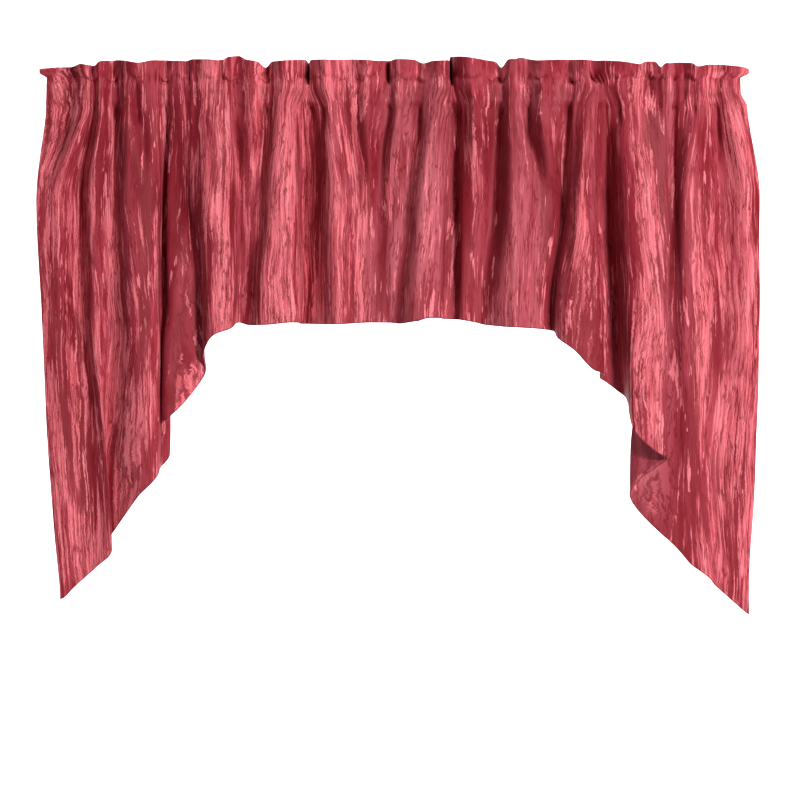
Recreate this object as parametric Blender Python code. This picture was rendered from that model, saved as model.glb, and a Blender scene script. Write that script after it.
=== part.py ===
"""Scalloped window valance: one gathered panel of jacquard cloth with a rod pocket.

Metres, +Z up. The rod would run along X through the origin, the middle of the pocket,
and the face of the cloth looks along -Y. The table below gives the folds in millimetres.
"""
import math

import bpy
from mathutils import Vector

MM = 0.001

CLOTH_THICKNESS = 1.6 * MM
SEAM_GAP = 0.3 * MM

FRILL_STITCH_RISE = 24.0 * MM
POCKET_STITCH_DROP = 25.0 * MM
# The pocket's walls bulge a little, and even in a groove stay off the rod by this much.
POCKET_BULGE = 1.5 * MM
ROD_ROOM = 4.8 * MM
ROD_SOFTNESS = 3.5 * MM
POCKET_LEFT_END = -572.0 * MM
POCKET_RIGHT_END = 569.0 * MM
FRILL_LEFT_END = -584.0 * MM
FRILL_RIGHT_END = 583.0 * MM

# How far in front of the rod's axis the middle of the folds hangs, at the pocket and below.
HEADING_FORWARD = 12.0 * MM
CLOTH_FORWARD = 8.0 * MM

# Share of a fold's depth at the lower row, in the pocket, at the upper row and in the frill.
LOWER_ROW_SHARE = 0.65
POCKET_SHARE = 0.65
UPPER_ROW_SHARE = 0.60
FRILL_SHARE = 1.00
OPENED_BELOW_STITCH = 45.0 * MM
# Share of the pocket's height over which it comes in from the panel's width to its own.
NARROWED_AT = 0.55

COLUMN_WIDTH = 14.5 * MM
SHARP_ANGLE = math.radians(60)
# Cosine of half the sharpest turn at which the sheet still keeps its full thickness.
SHARPEST_TURN = 0.4
# Heights up the pocket, and down the drop, at which the sheet has a row of points.
POCKET_SHARES = (0.32, 0.68)
DROP_STEPS = (0.0, 0.05, 0.13, 0.24, 0.38, 0.53, 0.68, 0.84, 1.0)

# Creases across the panel, left to right. Each row is one crest, groove or lip of a fold:
# how far it lies right of the middle at five heights below the rod (a crease that ends
# higher repeats its last place), how far it stands forward of the middle of the folds just
# below the pocket, at 175 mm and at its own foot, and how far below the rod its hem hangs.
HEIGHTS = (30, 175, 370, 590, 820)
CREASES = (
    # at30, at175, at370, at590, at820, fore_top, fore_mid, fore_foot, hem
    (-573, -587, -578, -568, -549, 2, 16, 11, 832),
    (-541, -570, -566, -559, -542, -8, 16, 12, 829),
    (-512, -552, -553, -545, -530, 16, 18, 10, 817),
    (-496, -520, -518, -500, -490, -12, -14, 3, 781),
    (-482, -497, -494, -473, -461, 14, 14, 12, 755),
    (-463, -464, -466, -473, -472, -16, -5, -12, 733),
    (-438, -436, -424, -416, -406, 14, 22, 30, 656),
    (-394, -391, -391, -390, -390, 4, 12, 15, 632),
    (-386, -384, -384, -384, -384, -16, -30, -18, 612),
    (-377, -367, -367, -372, -372, -20, -32, -28, 590),
    (-369, -376, -375, -375, -375, -8, -12, -6, 556),
    (-352, -352, -356, -360, -360, -2, -9, 12, 524),
    (-342, -339, -322, -313, -312, 0, -6, -22, 468),
    (-332, -327, -314, -316, -316, 6, 8, 2, 430),
    (-304, -306, -300, -288, -281, 18, 28, 28, 401),
    (-273, -272, -268, -264, -261, 8, 20, 20, 388),
    (-259, -255, -256, -256, -252, -14, -16, -12, 377),
    (-238, -241, -246, -246, -240, 8, -12, -12, 380),
    (-218, -225, -234, -234, -230, -14, -6, 0, 382),
    (-188, -198, -211, -211, -211, 22, 28, 26, 382),
    (-168, -166, -168, -168, -168, 14, 20, 20, 378),
    (-151, -151, -149, -149, -149, -25, -44, -38, 378),
    (-135, -132, -131, -131, -131, -18, -24, -20, 379),
    (-106, -96, -94, -94, -94, 20, 24, 22, 381),
    (-68, -58, -60, -60, -60, -2, 0, -6, 378),
    (-45, -43, -42, -42, -42, 16, -2, -8, 377),
    (-14, -25, -27, -27, -27, -14, -12, -10, 377),
    (4, -8, -9, -9, -9, 16, 0, -14, 377),
    (30, 18, 8, 8, 8, -14, -6, -2, 379),
    (66, 48, 38, 38, 38, 18, 28, 28, 376),
    (80, 64, 56, 56, 56, 14, 20, 20, 371),
    (88, 80, 75, 75, 75, 2, 4, 2, 370),
    (95, 89, 84, 84, 84, -22, -38, -34, 370),
    (104, 109, 106, 106, 106, -24, -40, -36, 371),
    (112, 112, 113, 113, 113, -4, -10, -12, 373),
    (130, 132, 132, 132, 132, 20, -2, -22, 376),
    (166, 162, 148, 148, 148, -22, -20, -20, 380),
    (190, 192, 194, 194, 194, 20, 28, 28, 386),
    (219, 240, 230, 230, 230, -12, -6, -2, 387),
    (242, 260, 246, 246, 246, 18, -12, -12, 388),
    (282, 280, 261, 261, 261, -20, -26, -22, 390),
    (296, 291, 270, 270, 270, 4, 10, 14, 405),
    (314, 306, 293, 293, 293, 20, 32, 32, 423),
    (325, 321, 328, 331, 331, 10, 20, 22, 457),
    (334, 333, 342, 348, 348, -18, -36, -26, 471),
    (347, 360, 370, 380, 380, -26, -46, -38, 494),
    (360, 366, 375, 386, 386, -6, -8, -4, 508),
    (376, 384, 389, 393, 393, 14, 24, 34, 556),
    (403, 412, 426, 425, 425, 18, 31, 36, 588),
    (443, 450, 447, 441, 441, 14, 18, 20, 607),
    (453, 438, 421, 391, 389, -4, -6, -16, 668),
    (462, 458, 455, 453, 451, -12, -6, 0, 736),
    (487, 475, 476, 482, 494, 16, 17, 9, 779),
    (527, 548, 549, 541, 541, -12, -8, 4, 822),
    (553, 577, 578, 575, 567, 12, 12, 6, 845),
    (580, 601, 601, 595, 583, 0, 0, 0, 858),
)

# Top edge of the frill: place right of the middle, and height above the rod.
FRILL_EDGE = (
    (-583, 41),
    (-519, 46),
    (-466, 56),
    (-420, 51),
    (-379, 54),
    (-321, 56),
    (-263, 61),
    (-238, 56),
    (-214, 43),
    (-202, 53),
    (-156, 56),
    (-57, 56),
    (17, 56),
    (45, 50),
    (75, 56),
    (100, 61),
    (158, 54),
    (177, 43),
    (194, 57),
    (273, 56),
    (323, 57),
    (356, 54),
    (408, 46),
    (422, 51),
    (438, 46),
    (496, 46),
    (583, 40),
)

CLOTH_COLOUR = (0.36, 0.030, 0.050, 1.0)
CLOTH_ROUGHNESS = 0.75


def clear_scene():
    """Take every object out of the scene."""
    for thing in list(bpy.data.objects):
        bpy.data.objects.remove(thing, do_unlink=True)


def smooth(knots, values, at, level=False):
    """Read a smooth curve through the values; with level it never swings past them."""
    last = len(knots) - 1
    if at <= knots[0]:
        return values[0]
    if at >= knots[last]:
        return values[last]
    cell = max(place for place in range(last) if knots[place] <= at)
    rise = [(values[i + 1] - values[i]) / (knots[i + 1] - knots[i]) for i in range(last)]

    def slope(i):
        if i == 0:
            return rise[0]
        if i == last:
            return rise[last - 1]
        before = knots[i] - knots[i - 1]
        after = knots[i + 1] - knots[i]
        if level:
            if rise[i - 1] * rise[i] <= 0:
                return 0.0
            return 2 * rise[i - 1] * rise[i] / (rise[i - 1] + rise[i])
        return (rise[i - 1] * after + rise[i] * before) / (before + after)

    width = knots[cell + 1] - knots[cell]
    t = (at - knots[cell]) / width
    return (
        values[cell] * (1 + 2 * t) * (1 - t) ** 2
        + values[cell + 1] * t * t * (3 - 2 * t)
        + slope(cell) * width * t * (1 - t) ** 2
        - slope(cell + 1) * width * t * t * (1 - t)
    )


def crease_point(crease, drop):
    """Give a crease's place across and forward at a distance below the rod, in metres."""
    right, fore, hem = crease[:5], crease[5:8], crease[8] * MM
    heights = [height * MM for height in HEIGHTS]
    x = smooth(heights, right, drop, level=True) * MM
    opened = POCKET_STITCH_DROP + OPENED_BELOW_STITCH
    depths = (
        fore[0] * MM * LOWER_ROW_SHARE + HEADING_FORWARD,
        fore[0] * MM + (HEADING_FORWARD + CLOTH_FORWARD) / 2,
        fore[1] * MM + CLOTH_FORWARD,
        fore[2] * MM + CLOTH_FORWARD,
    )
    forward = smooth((POCKET_STITCH_DROP, opened, heights[1], hem), depths, drop, level=True)
    return x, -forward


def crease_knots():
    """Place every crease along the cloth by the length of its section at the middle height."""
    points = [Vector(crease_point(crease, HEIGHTS[1] * MM)) for crease in CREASES]
    knots = [0.0]
    for before, after in zip(points, points[1:]):
        knots.append(knots[-1] + (after - before).length)
    return knots


KNOTS = crease_knots()


def columns():
    """Share the cloth's width out in upright columns, two or more from crease to crease."""
    places = [0.0]
    for before, after in zip(KNOTS, KNOTS[1:]):
        parts = max(2, round((after - before) / COLUMN_WIDTH))
        places += [before + (after - before) * (part + 1) / parts for part in range(parts)]
    return places


def section_point(place, drop):
    """Give the middle of the cloth at a place along it and a distance below the rod."""
    points = [crease_point(crease, drop) for crease in CREASES]
    x = smooth(KNOTS, [point[0] for point in points], place)
    y = smooth(KNOTS, [point[1] for point in points], place)
    return Vector((x, y, -drop))


def hem_drop(place):
    """Give the hem's distance below the rod at a place along the cloth."""
    return smooth(KNOTS, [crease[8] * MM for crease in CREASES], place, level=True)


def fabric_material():
    """Make the plain crimson of the cloth."""
    material = bpy.data.materials.new("crimson_jacquard")
    material.use_nodes = True
    shader = material.node_tree.nodes["Principled BSDF"]
    shader.inputs["Base Color"].default_value = CLOTH_COLOUR
    shader.inputs["Roughness"].default_value = CLOTH_ROUGHNESS
    shader.inputs["Metallic"].default_value = 0.0
    material.diffuse_color = CLOTH_COLOUR
    return material


def add_piece(name, points, faces, material):
    """Make one named object of the points and faces."""
    mesh = bpy.data.meshes.new(name)
    mesh.from_pydata(points, [], faces)
    mesh.validate()
    mesh.shade_smooth()
    mesh.set_sharp_from_angle(angle=SHARP_ANGLE)
    piece = bpy.data.objects.new(name, mesh)
    bpy.context.scene.collection.objects.link(piece)
    mesh.materials.append(material)
    return piece


def loft_faces(ring_count, ring_size, turned):
    """List the triangles between closed rings that follow one another. At the corners in turned
    a face is cut along its other diagonal, so that both sides of the cloth bend as one."""
    faces = []
    for ring in range(ring_count - 1):
        for corner in range(ring_size):
            after = (corner + 1) % ring_size
            near = ring * ring_size
            far = near + ring_size
            a, b, c, d = near + corner, near + after, far + after, far + corner
            faces += [(a, b, d), (b, c, d)] if corner in turned else [(a, b, c), (a, c, d)]
    return faces


def across(grid, column, row, up=Vector((0.0, 0.0, 1.0))):
    """Give the step square to the cloth at one point of its grid. It is longer where the cloth
    turns sharply, so that the sheet keeps its thickness there."""
    here = grid[column][row]
    before = here - grid[column - 1][row] if column else grid[1][row] - here
    after = grid[column + 1][row] - here if column + 1 < len(grid) else before
    before.z = after.z = 0.0
    run = (before.normalized() + after.normalized()).normalized()
    turn = max(run.dot(after.normalized()), SHARPEST_TURN)
    return run.cross(up).normalized() / turn


def build_drop(places, material):
    """Build the hanging cloth below the pocket as one sheet with its hem cut to shape."""
    top = POCKET_STITCH_DROP + SEAM_GAP
    grid = []
    for place in places:
        length = hem_drop(place) - top
        grid.append([section_point(place, top + length * step) for step in DROP_STEPS])
    rows = len(DROP_STEPS)
    points = []
    for column in range(len(places)):
        half = [across(grid, column, row) * CLOTH_THICKNESS / 2 for row in range(rows)]
        points += [grid[column][row] + half[row] for row in range(rows)]
        points += [grid[column][row] - half[row] for row in reversed(range(rows))]
    ring = 2 * rows
    faces = loft_faces(len(places), ring, range(rows, ring - 1))
    last = (len(places) - 1) * ring
    for row in range(rows - 1):
        other = ring - 1 - row
        faces.append((other, other - 1, row + 1, row))
        faces.append((last + row, last + row + 1, last + other - 1, last + other))
    return add_piece("drop", points, faces, material)


def fold_depth(place):
    """Give how far a fold stands behind the middle of the folds just below the pocket."""
    return -smooth(KNOTS, [crease[5] * MM for crease in CREASES], place)


def soft_max(first, second, softness):
    """Take the larger of two values with a rounded change between them."""
    return (first + second) / 2 + math.hypot((first - second) / 2, softness)


def ease(value):
    """Go smoothly from 0 to 1."""
    t = min(max(value, 0.0), 1.0)
    return t * t * (3 - 2 * t)


def stretched(x, left, right):
    """Move a place across so that the cloth's two top corners come to the given ends."""
    first = CREASES[0][0] * MM
    final = CREASES[-1][0] * MM
    return left + (x - first) * (right - left) / (final - first)


def heading_lines(place):
    """Give the middle of the heading's cloth at one column: from the lower stitches up the
    front of the pocket, the upper stitches, the frill's edge, then down the pocket's back."""
    seam = section_point(place, POCKET_STITCH_DROP)
    wave = fold_depth(place)
    edge_places = [row[0] * MM for row in FRILL_EDGE]
    edge_rises = [row[1] * MM for row in FRILL_EDGE]
    pocket_x = stretched(seam.x, POCKET_LEFT_END, POCKET_RIGHT_END)
    frill_x = stretched(seam.x, FRILL_LEFT_END, FRILL_RIGHT_END)

    def wall(share, side):
        """One point of the pocket; share runs from its lower stitches to its upper ones."""
        x = seam.x + (pocket_x - seam.x) * ease(share / NARROWED_AT)
        z = FRILL_STITCH_RISE * share - POCKET_STITCH_DROP * (1 - share)
        depth = wave * POCKET_SHARE - HEADING_FORWARD
        return Vector((x, side * soft_max(side * depth + POCKET_BULGE, ROD_ROOM, ROD_SOFTNESS), z))

    stitch = Vector((pocket_x, wave * UPPER_ROW_SHARE - HEADING_FORWARD, FRILL_STITCH_RISE))
    rise = smooth(edge_places, edge_rises, frill_x, level=True)
    top = Vector((frill_x, wave * FRILL_SHARE - HEADING_FORWARD, rise))
    front = [wall(share, -1) for share in POCKET_SHARES]
    back = [wall(share, 1) for share in reversed(POCKET_SHARES)]
    return [seam] + front + [stitch, top] + back


def end_faces(outer, inner, flip):
    """Close one end of the heading between its outside and the mouth of the pocket."""
    rows = len(POCKET_SHARES) + 1
    back = rows + 3
    faces = [
        (outer[0], outer[-1], inner[0]),
        (outer[rows], inner[rows], outer[back]),
        (outer[rows], outer[back], outer[back - 1], outer[back - 2]),
    ]
    for row in range(rows):
        faces.append((outer[row], inner[row], inner[row + 1], outer[row + 1]))
        inner_after = inner[(rows + row + 1) % len(inner)]
        faces.append((outer[back + row], inner[rows + row], inner_after, outer[back + row + 1]))
    return [tuple(reversed(face)) for face in faces] if flip else faces


def heading_rings(grid, column):
    """Give one cross-section of the heading, its outside and the inside of its pocket."""
    walls = len(POCKET_SHARES)
    stitch = walls + 1
    outs = [across(grid, column, row) for row in range(len(grid[0]))]
    line = grid[column]
    for wall in range(1, stitch):
        outs[wall] = across(grid, column, wall, line[wall + 1] - line[wall - 1])
        behind = stitch + 1 + wall
        above = stitch if wall == 1 else behind - 1
        below = 0 if wall == walls else behind + 1
        outs[behind] = across(grid, column, behind, line[above] - line[below])
    half = [out * CLOTH_THICKNESS / 2 for out in outs]
    front = [point + shift for point, shift in zip(grid[column], half)]
    back = [point - shift for point, shift in zip(grid[column], half)]
    tip = Vector((0.0, 0.0, CLOTH_THICKNESS))
    outside = front[:stitch + 2] + [back[stitch + 1], back[stitch]] + back[stitch + 2:] + [back[0]]
    inside = [grid[column][0] + tip] + back[1:stitch] + [grid[column][stitch] - tip]
    inside += front[stitch + 2:]
    return outside, inside


def build_heading(places, material):
    """Build the frill and the rod pocket as one strip, open from end to end."""
    grid = [heading_lines(place) for place in places]
    rings = [heading_rings(grid, column) for column in range(len(grid))]
    outer_size = len(rings[0][0])
    inner_size = len(rings[0][1])
    points = [point for outside, _ in rings for point in outside]
    shift = len(points)
    points += [point for _, inside in rings for point in inside]
    walls = len(POCKET_SHARES)
    outer_faces = loft_faces(len(rings), outer_size, range(walls + 3, outer_size - 1))
    inner_faces = loft_faces(len(rings), inner_size, range(walls + 1, inner_size))
    faces = [tuple(reversed(face)) for face in outer_faces]
    faces += [tuple(corner + shift for corner in face) for face in inner_faces]
    for ring, flip in ((0, True), (len(rings) - 1, False)):
        outer = [ring * outer_size + corner for corner in range(outer_size)]
        inner = [shift + ring * inner_size + corner for corner in range(inner_size)]
        faces += end_faces(outer, inner, flip)
    return add_piece("heading", points, faces, material)


def main():
    """Build the valance."""
    clear_scene()
    material = fabric_material()
    places = columns()
    drop = build_drop(places, material)
    heading = build_heading(places, material)
    for piece in (heading, drop):
        count = sum(len(face.vertices) - 2 for face in piece.data.polygons)
        print(piece.name, "triangles", count)
    print("flat width", round(KNOTS[-1], 3), "columns", len(places))


main()
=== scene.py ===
# %% [markdown]
# # A scalloped window valance
# A valance is a short curtain that dresses the top of a window. This one is a single panel of
# jacquard cloth. Its top edge is folded to the back and sewn down with two rows of stitches,
# which make a pocket for the curtain rod with a small frill above it. The panel is much wider
# than the finished valance, so the cloth gathers into folds. Its lower edge is cut short in the
# middle and runs down to a long point at each side.
#
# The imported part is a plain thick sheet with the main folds. Here each of its two nodes is
# replaced by thin cloth with finer folds, hems, stitches and the woven figure.

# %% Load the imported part
import math

import bpy
import numpy as np
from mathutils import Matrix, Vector


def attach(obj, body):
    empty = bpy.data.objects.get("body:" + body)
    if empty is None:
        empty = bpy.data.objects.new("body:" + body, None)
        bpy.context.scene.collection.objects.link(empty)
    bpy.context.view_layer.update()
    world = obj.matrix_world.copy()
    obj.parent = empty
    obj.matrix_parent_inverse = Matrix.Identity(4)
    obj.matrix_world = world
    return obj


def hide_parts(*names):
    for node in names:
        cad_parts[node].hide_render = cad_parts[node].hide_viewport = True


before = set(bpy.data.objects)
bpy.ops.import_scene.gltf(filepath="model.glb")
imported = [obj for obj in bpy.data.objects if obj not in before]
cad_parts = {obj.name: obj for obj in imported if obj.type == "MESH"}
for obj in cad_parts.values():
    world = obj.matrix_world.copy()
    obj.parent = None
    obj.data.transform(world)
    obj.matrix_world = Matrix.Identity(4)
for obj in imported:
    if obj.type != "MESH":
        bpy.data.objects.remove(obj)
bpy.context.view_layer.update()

MM = 0.001

# %% [markdown]
# ## The creases
# Folds in hanging cloth run from the gathers down to the hem. Each row of the table below is one
# crest, groove or lip of a fold. It says how far the crease lies right of the middle at five
# heights, how far it stands forward at the top, at mid height and at its foot, and how far below
# the rod the hem hangs there. A table like this is easy to read beside a picture, and each fold
# can be moved by itself. All its values are millimetres.

# %% Table of the creases, left to right
HEIGHTS = (30, 175, 370, 590, 820)
CREASES = (
    # at30, at175, at370, at590, at820, fore_top, fore_mid, fore_foot, hem
    (-573, -587, -578, -568, -549, 2, 16, 11, 832),
    (-541, -570, -566, -559, -542, -8, 16, 12, 829),
    (-512, -552, -553, -545, -530, 16, 18, 10, 817),
    (-496, -520, -518, -500, -490, -12, -14, 3, 781),
    (-482, -497, -494, -473, -461, 14, 14, 12, 755),
    (-463, -464, -466, -473, -472, -16, -5, -12, 733),
    (-438, -436, -424, -416, -406, 14, 22, 30, 656),
    (-394, -391, -391, -390, -390, 4, 12, 15, 632),
    (-386, -384, -384, -384, -384, -16, -30, -18, 612),
    (-377, -367, -367, -372, -372, -20, -32, -28, 590),
    (-369, -376, -375, -375, -375, -8, -12, -6, 556),
    (-352, -352, -356, -360, -360, -2, -9, 12, 524),
    (-342, -339, -322, -313, -312, 0, -6, -22, 468),
    (-332, -327, -314, -316, -316, 6, 8, 2, 430),
    (-304, -306, -300, -288, -281, 18, 28, 28, 401),
    (-273, -272, -268, -264, -261, 8, 20, 20, 388),
    (-259, -255, -256, -256, -252, -14, -16, -12, 377),
    (-238, -241, -246, -246, -240, 8, -12, -12, 380),
    (-218, -225, -234, -234, -230, -14, -6, 0, 382),
    (-188, -198, -211, -211, -211, 22, 28, 26, 382),
    (-168, -166, -168, -168, -168, 14, 20, 20, 378),
    (-151, -151, -149, -149, -149, -25, -44, -38, 378),
    (-135, -132, -131, -131, -131, -18, -24, -20, 379),
    (-106, -96, -94, -94, -94, 20, 24, 22, 381),
    (-68, -58, -60, -60, -60, -2, 0, -6, 378),
    (-45, -43, -42, -42, -42, 16, -2, -8, 377),
    (-14, -25, -27, -27, -27, -14, -12, -10, 377),
    (4, -8, -9, -9, -9, 16, 0, -14, 377),
    (30, 18, 8, 8, 8, -14, -6, -2, 379),
    (66, 48, 38, 38, 38, 18, 28, 28, 376),
    (80, 64, 56, 56, 56, 14, 20, 20, 371),
    (88, 80, 75, 75, 75, 2, 4, 2, 370),
    (95, 89, 84, 84, 84, -22, -38, -34, 370),
    (104, 109, 106, 106, 106, -24, -40, -36, 371),
    (112, 112, 113, 113, 113, -4, -10, -12, 373),
    (130, 132, 132, 132, 132, 20, -2, -22, 376),
    (166, 162, 148, 148, 148, -22, -20, -20, 380),
    (190, 192, 194, 194, 194, 20, 28, 28, 386),
    (219, 240, 230, 230, 230, -12, -6, -2, 387),
    (242, 260, 246, 246, 246, 18, -12, -12, 388),
    (282, 280, 261, 261, 261, -20, -26, -22, 390),
    (296, 291, 270, 270, 270, 4, 10, 14, 405),
    (314, 306, 293, 293, 293, 20, 32, 32, 423),
    (325, 321, 328, 331, 331, 10, 20, 22, 457),
    (334, 333, 342, 348, 348, -18, -36, -26, 471),
    (347, 360, 370, 380, 380, -26, -46, -38, 494),
    (360, 366, 375, 386, 386, -6, -8, -4, 508),
    (376, 384, 389, 393, 393, 14, 24, 34, 556),
    (403, 412, 426, 425, 425, 18, 31, 36, 588),
    (443, 450, 447, 441, 441, 14, 18, 20, 607),
    (453, 438, 421, 391, 389, -4, -6, -16, 668),
    (462, 458, 455, 453, 451, -12, -6, 0, 736),
    (487, 475, 476, 482, 494, 16, 17, 9, 779),
    (527, 548, 549, 541, 541, -12, -8, 4, 822),
    (553, 577, 578, 575, 567, 12, 12, 6, 845),
    (580, 601, 601, 595, 583, 0, 0, 0, 858),
)
CREASE = np.array(CREASES, float)
print(len(CREASE), "creases")

# %% Top edge of the frill and sizes of the heading
FRILL_EDGE = (
    # right of the middle, above the rod
    (-583, 41), (-526, 45), (-514, 49), (-495, 46), (-480, 54), (-447, 55), (-420, 51),
    (-398, 55), (-346, 54), (-330, 57), (-282, 56), (-271, 61), (-256, 62), (-246, 57),
    (-226, 53), (-214, 43), (-202, 53), (-156, 56), (-142, 53), (-128, 56), (-57, 56),
    (-16, 54), (6, 57), (32, 56), (46, 50), (58, 54), (84, 56), (94, 61), (118, 61),
    (152, 55), (168, 52), (177, 43), (186, 56), (206, 59), (236, 55), (273, 56), (312, 56),
    (323, 59), (340, 55), (372, 54), (402, 49), (412, 53), (426, 53), (436, 44), (444, 50),
    (486, 51), (497, 45), (520, 48), (572, 44), (583, 40),
)
FRILL_ROW = 24 * MM
POCKET_ROW = -25 * MM
POCKET_BULGE = 1.5 * MM
ROD_ROOM = 4.8 * MM
ROD_SOFTNESS = 3.5 * MM
HEADING_FORWARD = 12 * MM
CLOTH_FORWARD = 8 * MM
OPENED_BELOW_ROW = 45 * MM
# Share of a fold's depth that is left at each height.
LOWER_ROW_SHARE = 0.65
POCKET_SHARE = 0.72
UPPER_ROW_SHARE = 0.66
FRILL_SHARE = 1.15
POCKET_ENDS = (-572 * MM, 569 * MM)
END_REACH = 45 * MM
FRILL_ENDS = (-584 * MM, 583 * MM)
CLOTH_THICKNESS = 0.7 * MM
# The camera stands this far in front and this high, on the rod's scale.
VIEW_DISTANCE = 3.5
EYE_HEIGHT = -0.505
COLUMNS = 560
SEED = 7


# %% [markdown]
# ## From table to surface
# A smooth curve through the creases of one height gives the cloth's wavy cross-section there.
# The curve is a cubic between each two creases, as in a drawing spline. Where a value must not
# swing past its neighbours, as a crease's path down the cloth must not, the slopes are levelled.

# %% Read smooth curves
def read_curve(knots, values, at, level=False):
    """Read a smooth curve through values at knots; with level it never swings past them."""
    knots = np.asarray(knots, float)
    values = np.asarray(values, float)
    flat = values.ndim == 1
    table = values[:, None] if flat else values
    at = np.clip(np.asarray(at, float), knots[0], knots[-1])
    gap = np.diff(knots)[:, None]
    rise = np.diff(table, axis=0) / gap
    slope = np.empty_like(table)
    slope[0], slope[-1] = rise[0], rise[-1]
    before, after = rise[:-1], rise[1:]
    if level:
        agree = before * after > 0
        total = np.where(agree, before + after, 1.0)
        slope[1:-1] = np.where(agree, 2 * before * after / total, 0.0)
    else:
        slope[1:-1] = (before * gap[1:] + after * gap[:-1]) / (gap[:-1] + gap[1:])
    cell = np.clip(np.searchsorted(knots, at, side="right") - 1, 0, len(knots) - 2)
    width = gap[cell]
    t = ((at - knots[cell]) / width[:, 0])[:, None]
    found = (
        table[cell] * (1 + 2 * t) * (1 - t) ** 2
        + table[cell + 1] * t * t * (3 - 2 * t)
        + slope[cell] * width * t * (1 - t) ** 2
        - slope[cell + 1] * width * t * t * (1 - t)
    )
    return found[:, 0] if flat else found


def bell(distance, half_width):
    """A soft hump: 1 in its middle and near 0 at twice its half width."""
    return np.exp(-((distance / half_width) ** 2))


def ease(value, start, end):
    """Go smoothly from 0 at start to 1 at end."""
    t = np.clip((value - start) / (end - start), 0, 1)
    return t * t * (3 - 2 * t)


# %% Follow each crease down the cloth
LEVEL_STEP = 4 * MM
LOWEST_LEVEL = 870 * MM
LEVELS = np.arange(-POCKET_ROW, LOWEST_LEVEL, LEVEL_STEP)
OPENED = -POCKET_ROW + OPENED_BELOW_ROW
lines_x = read_curve(HEIGHTS, CREASE[:, :5].T, LEVELS / MM, level=True) * MM
lines_y = np.empty_like(lines_x)
for number, row in enumerate(CREASE):
    depths = np.array((row[5] * LOWER_ROW_SHARE, row[5], row[6], row[7])) * MM
    depths += (HEADING_FORWARD, (HEADING_FORWARD + CLOTH_FORWARD) / 2, CLOTH_FORWARD, CLOTH_FORWARD)
    knots = (-POCKET_ROW, OPENED, HEIGHTS[1] * MM, row[8] * MM)
    lines_y[:, number] = -read_curve(knots, depths, LEVELS, level=True)
open_level = int(round((HEIGHTS[1] * MM - LEVELS[0]) / LEVEL_STEP))
chords = np.hypot(np.diff(lines_x[open_level]), np.diff(lines_y[open_level]))
KNOTS = np.concatenate([[0], np.cumsum(chords)])
FLAT_WIDTH = float(KNOTS[-1])
along = np.linspace(0, FLAT_WIDTH, COLUMNS + 1)
sections_x = read_curve(KNOTS, lines_x.T, along)
sections_y = read_curve(KNOTS, lines_y.T, along)
hem = read_curve(KNOTS, CREASE[:, 8] * MM, along, level=True)
wave = -read_curve(KNOTS, CREASE[:, 5] * MM, along)
print("flat width of the panel", round(FLAT_WIDTH, 3), "m")


def cloth_points(drops):
    """Give the cloth's middle surface at each column for a grid of distances below the rod."""
    place = np.clip((drops - LEVELS[0]) / LEVEL_STEP, 0, len(LEVELS) - 1.001)
    low = place.astype(int)
    beyond = place - low
    column = np.arange(drops.shape[0])[:, None]
    points = np.empty(drops.shape + (3,))
    for axis, sections in ((0, sections_x), (1, sections_y)):
        points[..., axis] = sections[column, low] * (1 - beyond) + sections[column, low + 1] * beyond
    points[..., 2] = -drops
    return points


# %% [markdown]
# ## Small folds
# Two rows of stitches draw the cloth up into gathers a few millimetres wide, which fade into the
# large folds within a hand's breadth. Between them the cloth has soft dents and drag lines. All
# are small moves along the surface's own normal. The random parts start from one fixed seed, so
# each run gives the same cloth.

# %% Gathers, dents and drag lines
GATHER_PITCH = 17 * MM
LOWER_GATHER_PITCH = 21 * MM
FRILL_WAVE_PITCH = 46 * MM
chance = np.random.default_rng(SEED)


def uneven_wave(at, length, count=6):
    """Give a wave of about this length along the cloth whose pitch and height wander."""
    total = np.zeros_like(at)
    for _ in range(count):
        pitch = length * chance.uniform(0.7, 1.6)
        total += chance.uniform(0.5, 1.0) * np.sin(math.tau * (at / pitch + chance.uniform()))
    return total / math.sqrt(count)


def dents(at, drops, across, down, count=8):
    """Give soft uneven dents of about this width and height over a grid."""
    total = np.zeros_like(drops)
    for _ in range(count):
        turn = at / (across * chance.uniform(0.7, 1.5)) + drops / (down * chance.choice((-1, 1)))
        total += np.sin(math.tau * (turn * chance.uniform(0.7, 1.3) + chance.uniform()))
    return total / math.sqrt(count)


upper_gathers = uneven_wave(along, GATHER_PITCH)
lower_gathers = uneven_wave(along, LOWER_GATHER_PITCH)
frill_waves = uneven_wave(along, FRILL_WAVE_PITCH)
print("highest gather", round(float(upper_gathers.max()), 2), "times the usual depth")

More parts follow.
